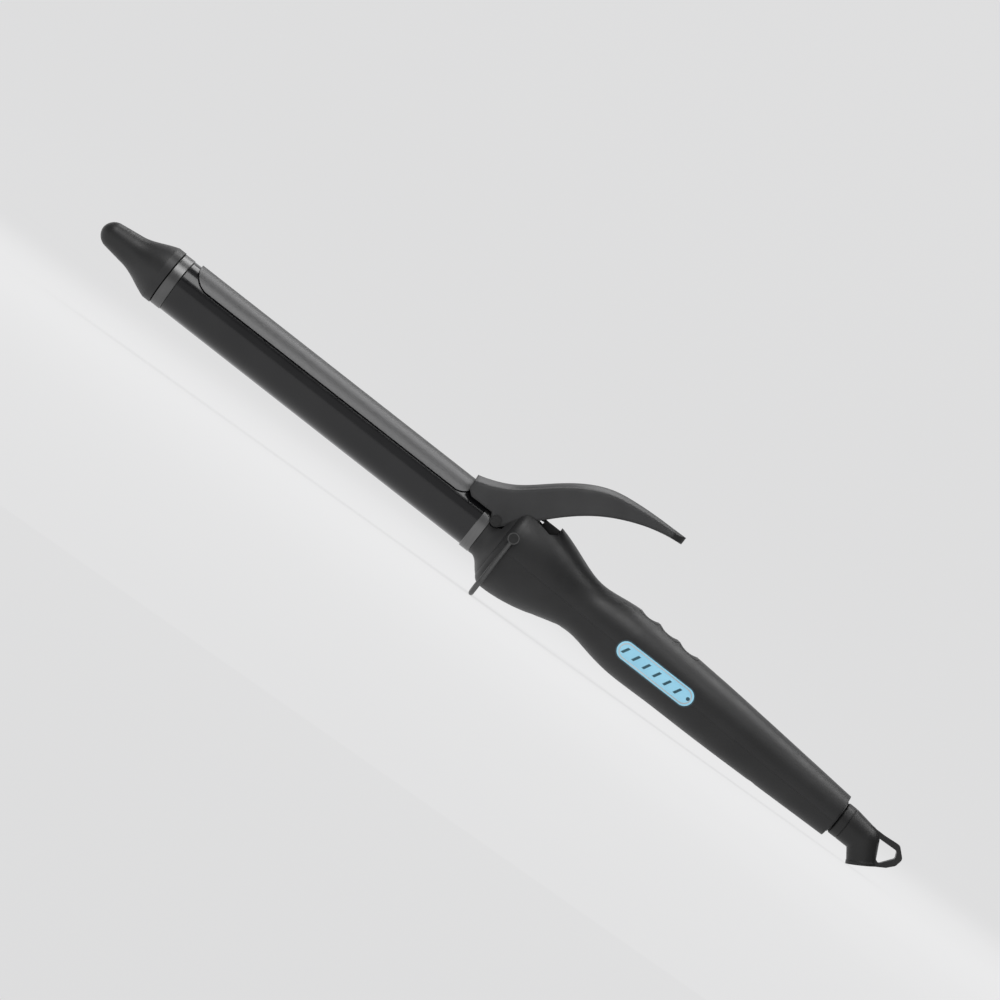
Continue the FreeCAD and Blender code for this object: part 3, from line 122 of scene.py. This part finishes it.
class Nodes:
    """Shorthand for building a material's node tree."""

    def __init__(self, name):
        self.material = bpy.data.materials.new(name)
        self.material.use_nodes = True
        self.tree = self.material.node_tree
        self.shader = self.tree.nodes["Principled BSDF"]
        self.place = self.add("ShaderNodeTexCoord").outputs["Object"]

    def add(self, kind, **settings):
        node = self.tree.nodes.new(kind)
        for key, value in settings.items():
            setattr(node, key, value)
        return node

    def link(self, source, target):
        self.tree.links.new(source, target)

    def stretched(self, scale):
        """Place in the tool's own directions, scaled differently along and across the tool."""
        mapping = self.add("ShaderNodeMapping", vector_type="TEXTURE")
        mapping.inputs["Rotation"].default_value = (0, TILT, 0)
        mapping.inputs["Scale"].default_value = [1 / s for s in scale]
        self.link(self.place, mapping.inputs["Vector"])
        return mapping.outputs["Vector"]

    def noise(self, scale, detail=4.0, where=None, roughness=0.5):
        node = self.add("ShaderNodeTexNoise")
        node.inputs["Scale"].default_value = scale
        node.inputs["Detail"].default_value = detail
        node.inputs["Roughness"].default_value = roughness
        self.link(where or self.place, node.inputs["Vector"])
        return node.outputs["Fac"]

    def ranged(self, source, low, high):
        """A noise's usual span of values spread from low to high."""
        node = self.add("ShaderNodeMapRange")
        node.inputs["From Min"].default_value = NOISE_LOW
        node.inputs["From Max"].default_value = NOISE_HIGH
        node.inputs["To Min"].default_value = low
        node.inputs["To Max"].default_value = high
        self.link(source, node.inputs["Value"])
        return node.outputs["Result"]

    def colours(self, source, dark, pale, low=NOISE_LOW, high=NOISE_HIGH):
        """Blend from the dark colour at low to the pale one at high."""
        node = self.add("ShaderNodeValToRGB")
        for element, position, colour in zip(node.color_ramp.elements, (low, high), (dark, pale)):
            element.position = position
            element.color = (*colour, 1)
        self.link(source, node.inputs["Fac"])
        return node.outputs["Color"]

    def share(self, source, part):
        node = self.add("ShaderNodeMath", operation="MULTIPLY")
        self.link(source, node.inputs[0])
        node.inputs[1].default_value = part
        return node.outputs["Value"]

    def total(self, first, second):
        node = self.add("ShaderNodeMath", operation="ADD")
        self.link(first, node.inputs[0])
        self.link(second, node.inputs[1])
        return node.outputs["Value"]

    def bump(self, height, strength, distance, edge=0.0):
        """Fine relief, laid over edges that look rounded to the given radius."""
        node = self.add("ShaderNodeBump")
        node.inputs["Strength"].default_value = strength
        node.inputs["Distance"].default_value = distance
        self.link(height, node.inputs["Height"])
        if edge:
            round_edge = self.add("ShaderNodeBevel", samples=BEVEL_SAMPLES)
            round_edge.inputs["Radius"].default_value = edge
            self.link(round_edge.outputs["Normal"], node.inputs["Normal"])
        self.link(node.outputs["Normal"], self.shader.inputs["Normal"])

    def set(self, **values):
        for key, value in values.items():
            self.shader.inputs[key.replace("_", " ")].default_value = value

    def drive(self, key, source):
        self.link(source, self.shader.inputs[key])


def grey(value, tint=(1.0, 1.0, 1.0)):
    return tuple(value * t for t in tint)


def plastic(name, shade, rough, grain=0.25, tint=(1.0, 1.0, 1.02), edge=0.0):
    """Moulded plastic: a fine spark-eroded grain, faint mottling and rubbed patches."""
    n = Nodes(name)
    cloud = n.noise(scale=38, detail=5)
    dark = grey(shade * (1 - PLASTIC_SPREAD), tint)
    pale = grey(shade * (1 + PLASTIC_SPREAD), tint)
    n.drive("Base Color", n.colours(cloud, dark, pale))
    worn = n.noise(scale=120, detail=6, roughness=0.65)
    n.drive("Roughness", n.ranged(worn, low=rough * 0.86, high=rough * 1.16))
    fine = n.noise(GRAIN_SCALE, detail=2)
    n.bump(fine, grain, GRAIN_DEPTH, edge)
    n.set(Specular_IOR_Level=0.36)
    return n.material


def brushed(name, shade, rough, tint=(1.0, 1.0, 1.0), across=(60, 900, 900), strength=0.16):
    """Drawn metal: fine lines along one direction, with faint smears in the polish."""
    n = Nodes(name)
    lines = n.noise(scale=2.0, detail=3, where=n.stretched(across))
    smear = n.noise(scale=45, detail=5)
    both = n.total(n.share(lines, LINE_SHARE), n.share(smear, 1 - LINE_SHARE))
    dark = grey(shade * (1 - METAL_SPREAD), tint)
    pale = grey(shade * (1 + METAL_SPREAD), tint)
    n.drive("Base Color", n.colours(both, dark, pale))
    n.drive("Roughness", n.ranged(both, low=rough * 0.9, high=rough * 1.12))
    n.bump(lines, strength, LINE_DEPTH)
    n.set(Metallic=1.0)
    return n.material


def barrel_coating():
    """Glossy dark ceramic coating with a faint orange peel and hair-fine polish marks."""
    n = Nodes("barrel_coating")
    cloud = n.noise(scale=55, detail=5)
    n.drive("Base Color", n.colours(cloud, dark=(0.004, 0.004, 0.005), pale=(0.008, 0.008, 0.009)))
    polish = n.noise(scale=3.0, detail=4, where=n.stretched((30, 500, 500)))
    n.drive("Roughness", n.ranged(polish, low=0.15, high=0.23))
    peel = n.noise(scale=420, detail=3)
    n.bump(peel, strength=0.05, distance=COATING_DEPTH)
    n.set(Specular_IOR_Level=0.42, Coat_Weight=0.25, Coat_Roughness=0.08)
    return n.material


def spin_lines(name, shade, rough):
    """Turned metal ring with lines round its circumference."""
    return brushed(name, shade, rough, across=(1400, 40, 40), strength=0.2)


def lens_material():
    """Lit display window: pale cyan with a soft inner unevenness."""
    n = Nodes("display_window")
    cloud = n.noise(scale=70, detail=3)
    n.drive("Base Color", n.colours(cloud, dark=(0.24, 0.54, 0.72), pale=(0.30, 0.61, 0.78)))
    n.drive("Roughness", n.ranged(n.noise(scale=260, detail=4), low=0.13, high=0.22))
    n.bump(n.noise(scale=500, detail=2), strength=0.03, distance=GRAIN_DEPTH)
    n.set(Emission_Color=(0.36, 0.74, 0.92, 1), Emission_Strength=0.24, Coat_Weight=0.6,
          Coat_Roughness=0.05, IOR=1.49)
    return n.material


def board_material():
    """Green solder mask, mottled where copper lies beneath it."""
    n = Nodes("circuit_board")
    cloud = n.noise(scale=500, detail=4)
    n.drive("Base Color", n.colours(cloud, dark=(0.012, 0.085, 0.035), pale=(0.02, 0.14, 0.055),
                                    low=0.35, high=0.65))
    n.drive("Roughness", n.ranged(n.noise(scale=900, detail=3), low=0.32, high=0.48))
    n.bump(n.noise(scale=1400, detail=3), strength=0.12, distance=COATING_DEPTH)
    return n.material


FINISHES = {
    "tip": plastic("tip_plastic", 0.026, 0.42, 0.3, edge=0.0004),
    "barrel": barrel_coating(),
    "ring": spin_lines("ring_metal", 0.13, 0.34),
    "collar": spin_lines("collar_metal", 0.17, 0.32),
    "blade": brushed("blade_metal", 0.088, 0.44, tint=(1.0, 1.0, 1.01), across=(250, 1500, 1500)),
    "lever": plastic("lever_plastic", 0.045, 0.34, 0.22, edge=0.0028),
    # lever end cap: near-black, far darker than the lever
    "lever_cap": plastic("lever_cap_near_black", 0.010, 0.5, 0.35),
    "nose": plastic("nose_plastic", 0.030, 0.44, 0.3, edge=0.0003),
    "handle": plastic("handle_plastic", 0.023, 0.42, 0.3, edge=0.0004),
    "lower": plastic("lower_handle_plastic", 0.021, 0.44, 0.3),
    # lever well: dark plastic painted near-black, as painted shade deep in the lever's slot
    "well": plastic("well_plastic_painted_shade", 0.008, 0.5, 0.3),
    "button": plastic("button_plastic", 0.026, 0.38, 0.22, edge=0.0005),
    "elbow": plastic("elbow_rubber", 0.018, 0.42, 0.35, edge=0.0008),
    "steel": brushed("wire_steel", 0.28, 0.28),
    "stand": brushed("stand_wire", 0.13, 0.38),
    "pin": brushed("pin_metal", 0.05, 0.42),
    "gasket": plastic("gasket_plastic", 0.075, 0.4, 0.2, tint=(0.62, 0.96, 1.12)),
    "mark": plastic("mark_ink", 0.12, 0.5, 0.1, tint=(0.35, 0.95, 1.25)),
    "rim": plastic("window_rim", 0.66, 0.35, 0.1, tint=(0.93, 1.0, 1.03)),
    "symbol": plastic("button_symbol", 0.32, 0.45, 0.15),
    "window": lens_material(),
    "board": board_material(),
    "copper": brushed("copper_metal", 0.62, 0.3, tint=(1.0, 0.62, 0.42)),
    "brass": brushed("brass_metal", 0.6, 0.3, tint=(1.0, 0.82, 0.45)),
    "ceramic": plastic("heater_ceramic", 0.62, 0.6, 0.3),
    "white": plastic("white_plastic", 0.58, 0.45, 0.2),
    "dark": plastic("component_black", 0.03, 0.4, 0.2),
}

NODE_FINISH = {
    "cool_tip": "tip", "tip_ring": "ring", "barrel": "barrel", "collar_ring": "collar",
    "barrel_plug": "ceramic", "heater_plate": "ceramic", "upper_heat_spreader": "steel",
    "lower_heat_spreader": "steel", "spreader_clips": "steel", "temperature_sensor": "white",
    "thermal_fuse": "steel", "heater_leads": "copper", "sensor_leads": "copper",
    "clamp_blade": "blade", "thumb_lever": "lever", "lever_end_cap": "lever_cap",
    "blade_rivets": "steel", "lever_pivot_pins": "pin", "clamp_spring": "steel", "nose_cone": "nose",
    "upper_handle_shell": "handle", "lower_handle_shell": "lower", "lever_well": "well",
    "handle_screws": "steel", "stand_bail": "stand", "stand_pins": "pin", "power_button": "button",
    "plus_button": "button", "minus_button": "button", "display_lens": "window",
    "display_gasket": "gasket", "light_guide": "white", "indicator_leds": "white",
    "display_board": "board", "control_board": "board", "board_screws": "steel",
    "tactile_switches": "dark", "power_module": "dark", "capacitor": "dark", "controller_chip": "dark",
    "triac": "dark", "filter_choke": "copper", "end_bushing": "dark", "swivel_elbow": "elbow",
    "swivel_clip": "steel", "slip_rings": "brass", "brush_contacts": "dark", "brush_holder": "white",
    "mains_leads": "copper",
}


def finish_nodes():
    """Give every CAD node its finish."""
    for name, node in NODES.items():
        material = FINISHES[NODE_FINISH[name]]
        mesh = node.data
        if not mesh.materials:
            mesh.materials.append(material)
        for i in range(len(mesh.materials)):
            mesh.materials[i] = material


finish_nodes()


# ---------------------------------------------------------------- display and button details

def surface_point(node, start, direction):
    """Where a line from start in the given direction meets a node's surface."""
    hit, place, _, _ = NODES[node].ray_cast(start, direction)
    if not hit:
        raise RuntimeError("a detail misses " + node)
    return place


def tool_point(origin, along, up, back):
    """Point offset from origin along the tool, up from it, and back from the window side."""
    return origin + TOOL_X * along + TOOL_Z * up + Vector((0, back, 0))


def mesh_piece(name, vertices, faces, material):
    """New object with the given mesh, its faces turned outward."""
    mesh = bpy.data.meshes.new(name)
    mesh.from_pydata(vertices, [], faces)
    mesh.materials.append(material)
    piece = bpy.data.objects.new(name, mesh)
    bpy.context.scene.collection.objects.link(piece)
    build = bmesh.new()
    build.from_mesh(mesh)
    bmesh.ops.recalc_face_normals(build, faces=build.faces)
    build.to_mesh(mesh)
    build.free()
    return piece


def grid_faces(columns, rows):
    """Faces of a grid of points numbered row by row."""
    return [(r * columns + c, r * columns + c + 1, (r + 1) * columns + c + 1, (r + 1) * columns + c)
            for r in range(rows - 1) for c in range(columns - 1)]


def slab_on(name, node, points, rise, sink, material, direction, body):
    """Thin raised patch: a grid of start points dropped on a node's surface and given a thickness."""
    rows, columns = len(points), len(points[0])
    top, low = [], []
    for row in points:
        for start in row:
            place = surface_point(node, start, direction)
            top.append(place - direction * rise)
            low.append(place + direction * sink)
    count = rows * columns
    faces = grid_faces(columns, rows)
    faces += [tuple(count + i for i in reversed(face)) for face in faces]
    ring = list(range(columns)) + [r * columns + columns - 1 for r in range(1, rows)]
    ring += [(rows - 1) * columns + c for c in range(columns - 2, -1, -1)]
    ring += [r * columns for r in range(rows - 2, 0, -1)]
    for a, b in zip(ring, ring[1:] + ring[:1]):
        faces.append((a, b, count + b, count + a))
    piece = mesh_piece(name, top + low, faces, material)
    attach(piece, body)


INTO_WINDOW = Vector((0, 1, 0))
AHEAD_OF_WINDOW = -0.02     # details on the window are dropped from here
LENS_MIDDLE = middle("display_lens")
MARK_RISE = 0.00008
MARK_SINK = 0.00010
STROKE_PITCH = 0.0057
STROKE_HEIGHT = 0.0033
STROKE_LEAN = 0.0017
STROKE_WIDTH = 0.0013
STROKES = 6
STROKE_ROWS = 6             # points up and across each stroke
STROKE_COLUMNS = 3
FIRST_STROKE = -0.0163      # from the window's middle
DOT_R = 0.00085
DOT_RINGS = 7
DOT_SIDES = 20
INNER_RING = 0.6            # the innermost ring's radius, in steps between rings


def dot_starts(centre):
    """The dot's centre and its rings, from the inside out."""
    starts = [centre]
    for r in range(DOT_RINGS):
        radius = DOT_R * (r + INNER_RING) / (DOT_RINGS - 1 + INNER_RING)
        for c in range(DOT_SIDES):
            angle = 2 * PI * c / DOT_SIDES
            starts.append(centre + TOOL_X * math.cos(angle) * radius + TOOL_Z * math.sin(angle) * radius)
    return starts


def window_dot(centre):
    """Round dot made of rings dropped on the window."""
    top, low = [], []
    for start in dot_starts(centre):
        place = surface_point("display_lens", start, INTO_WINDOW)
        top.append(place - INTO_WINDOW * MARK_RISE)
        low.append(place + INTO_WINDOW * MARK_SINK)
    count = len(top)
    sides = [(c, (c + 1) % DOT_SIDES) for c in range(DOT_SIDES)]
    faces = [(0, 1 + c, 1 + after) for c, after in sides]
    for r in range(DOT_RINGS - 1):
        inner, outer = 1 + r * DOT_SIDES, 1 + (r + 1) * DOT_SIDES
        faces += [(inner + c, outer + c, outer + after, inner + after) for c, after in sides]
    faces += [tuple(count + i for i in reversed(face)) for face in faces]
    last = 1 + (DOT_RINGS - 1) * DOT_SIDES
    faces += [(last + c, last + after, count + last + after, count + last + c) for c, after in sides]
    piece = mesh_piece("window_dot", top + low, faces, FINISHES["mark"])
    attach(piece, "handle")


def window_marks():
    """Six slanted strokes and a dot on the window, as plain level marks."""
    for i in range(STROKES):
        stroke_middle = FIRST_STROKE + STROKE_PITCH * i
        rows = []
        for r in range(STROKE_ROWS):
            share = r / (STROKE_ROWS - 1) - 0.5
            row_middle = stroke_middle + share * STROKE_LEAN
            offsets = [(c / (STROKE_COLUMNS - 1) - 0.5) * STROKE_WIDTH for c in range(STROKE_COLUMNS)]
            rows.append([tool_point(LENS_MIDDLE, row_middle + offset, share * STROKE_HEIGHT, AHEAD_OF_WINDOW)
                         for offset in offsets])
        slab_on("window_stroke_%d" % i, "display_lens", rows, MARK_RISE, MARK_SINK,
                FINISHES["mark"], INTO_WINDOW, "handle")
    window_dot(tool_point(LENS_MIDDLE, FIRST_STROKE + STROKE_PITCH * STROKES, 0, AHEAD_OF_WINDOW))


WINDOW_HEIGHT = 0.0084      # the lens's height in the CAD
RIM_END_INSET = 0.0009
RIM_SIDE_INSET = 0.0006
RIM_WIDTH = 0.00045
RIM_ARC_STEPS = 14
RIM_STEP = 0.0015           # longest step along the rim's straight sides


def rim_path(half_length, half_height):
    """Points round a slot shape, as places along the tool and up from it."""
    reach = half_length - half_height
    corners = []
    for side in (1, -1):
        for i in range(RIM_ARC_STEPS + 1):
            angle = -side * PI / 2 + PI * i / RIM_ARC_STEPS
            corners.append((side * reach + half_height * math.cos(angle), half_height * math.sin(angle)))
    points = []
    for (ax, az), (bx, bz) in zip(corners, corners[1:] + corners[:1]):
        parts = max(1, int(abs(bx - ax) / RIM_STEP))
        points += [(ax + (bx - ax) * i / parts, az + (bz - az) * i / parts) for i in range(parts)]
    return points


def window_rim():
    """Thin pale line just inside the window's edge."""
    low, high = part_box("display_lens")
    half_length = (high.x - low.x) / 2 / math.cos(TILT) - RIM_END_INSET
    half_height = WINDOW_HEIGHT / 2 - RIM_SIDE_INSET
    path = rim_path(half_length, half_height)
    section = ((0, MARK_RISE), (-RIM_WIDTH, MARK_RISE), (-RIM_WIDTH, -MARK_SINK), (0, -MARK_SINK))
    vertices = []
    for grow, rise in section:
        scale_x = (half_length + grow) / half_length
        scale_z = (half_height + grow) / half_height
        for x, z in path:
            start = tool_point(LENS_MIDDLE, x * scale_x, z * scale_z, AHEAD_OF_WINDOW)
            vertices.append(surface_point("display_lens", start, INTO_WINDOW) - INTO_WINDOW * rise)
    count = len(path)
    faces = []
    for k in range(len(section)):
        a, b = k * count, ((k + 1) % len(section)) * count
        faces += [(a + i, a + (i + 1) % count, b + (i + 1) % count, b + i) for i in range(count)]
    piece = mesh_piece("window_rim_line", vertices, faces, FINISHES["rim"])
    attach(piece, "handle")


SYMBOL_LONG = 0.0036
SYMBOL_WIDE = 0.0008
SYMBOL_RISE = 0.00010
SYMBOL_SINK = 0.00012
SYMBOL_ROWS = 5             # points across and along each bar
SYMBOL_COLUMNS = 9
ABOVE_BUTTON = 0.03         # bars on the buttons are dropped from here


def bar_on_button(name, button, along, across):
    """Raised bar in the middle of a button's dished top, sized along the tool and across it."""
    centre = middle(button)
    rows = []
    for r in range(SYMBOL_ROWS):
        back = (r / (SYMBOL_ROWS - 1) - 0.5) * across
        offsets = [(c / (SYMBOL_COLUMNS - 1) - 0.5) * along for c in range(SYMBOL_COLUMNS)]
        rows.append([tool_point(centre, offset, ABOVE_BUTTON, back) for offset in offsets])
    slab_on(name, button, rows, SYMBOL_RISE, SYMBOL_SINK, FINISHES["symbol"], -TOOL_Z,
            button)


def button_symbols():
    """Generic plus and minus signs."""
    bar_on_button("plus_bar_long", "plus_button", SYMBOL_LONG, SYMBOL_WIDE)
    bar_on_button("plus_bar_cross", "plus_button", SYMBOL_WIDE, SYMBOL_LONG)
    bar_on_button("minus_bar", "minus_button", SYMBOL_WIDE, SYMBOL_LONG)


def spring_coil():
    """The clamp spring's coil as a mesh of its own, carried with the handle in place of the CAD spring."""
    mesh = NODES["clamp_spring"].data.copy()
    piece = bpy.data.objects.new("spring_coil", mesh)
    bpy.context.scene.collection.objects.link(piece)
    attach(piece, "handle")
    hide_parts("clamp_spring")
    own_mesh(piece)


window_marks()
window_rim()
button_symbols()
spring_coil()


# ---------------------------------------------------------------- floor, backdrop and lights

WALL_Y = 4.2                # further off than the camera stands on any side
WALL_HEIGHT = 4.0
CURVE_R = 1.2
CURVE_STEPS = 24
FLOOR_HALF = 7.0
PAPER_DEPTH = 0.00005
LIGHT_AIM = (0, 0, 0.03)    # about the tool's middle
WORLD_STRENGTH = 0.13


def floor_material():
    """Pale matt paper that glows evenly, so the tool stands on a light ground."""
    n = Nodes("floor_paper")
    cloud = n.noise(scale=1.2, detail=3)
    n.drive("Base Color", n.colours(cloud, dark=(0.095, 0.095, 0.096), pale=(0.11, 0.11, 0.111)))
    n.drive("Roughness", n.ranged(n.noise(scale=30, detail=4), low=0.84, high=0.94))
    n.bump(n.noise(scale=900, detail=2), strength=0.03, distance=PAPER_DEPTH)
    n.set(Specular_IOR_Level=0.0, Emission_Color=(1.0, 1.0, 1.005, 1), Emission_Strength=0.70)
    return n.material


def sweep():
    """Wide floor that curves up into a wall behind the tool."""
    curve_start = WALL_Y - CURVE_R
    outline = [(-FLOOR_HALF, 0.0), (curve_start, 0.0)]
    for i in range(1, CURVE_STEPS + 1):
        angle = PI / 2 * i / CURVE_STEPS
        outline.append((curve_start + CURVE_R * math.sin(angle), CURVE_R - CURVE_R * math.cos(angle)))
    outline.append((WALL_Y, WALL_HEIGHT))
    vertices = [(x, y, z) for x in (-FLOOR_HALF, FLOOR_HALF) for y, z in outline]
    count = len(outline)
    faces = [(i, i + 1, count + i + 1, count + i) for i in range(count - 1)]
    piece = mesh_piece("floor", vertices, faces, floor_material())
    for polygon in piece.data.polygons:
        polygon.use_smooth = True


def area_light(name, place, size, power):
    """White rectangular light turned towards the tool."""
    data = bpy.data.lights.new(name, "AREA")
    data.shape = "RECTANGLE"
    data.size, data.size_y = size
    data.energy = power
    light = bpy.data.objects.new(name, data)
    light.location = place
    light.rotation_euler = (Vector(LIGHT_AIM) - Vector(place)).to_track_quat("-Z", "Y").to_euler()
    bpy.context.scene.collection.objects.link(light)


def add_lights():
    """Soft light from above and ahead, and a faint even world."""
    area_light("key", place=(-0.35, -0.75, 1.25), size=(1.4, 0.7), power=13)
    area_light("top_strip", place=(0.15, 0.25, 1.0), size=(1.6, 0.45), power=9)
    area_light("front_fill", place=(0.3, -1.5, 0.35), size=(1.8, 0.9), power=1.5)
    world = bpy.data.worlds.new("studio")
    world.use_nodes = True
    background = world.node_tree.nodes["Background"]
    background.inputs["Color"].default_value = (0.90, 0.91, 0.92, 1)
    background.inputs["Strength"].default_value = WORLD_STRENGTH
    bpy.context.scene.world = world


sweep()
add_lights()
bpy.context.scene.view_settings.view_transform = "Standard"

bpy.context.view_layer.update()
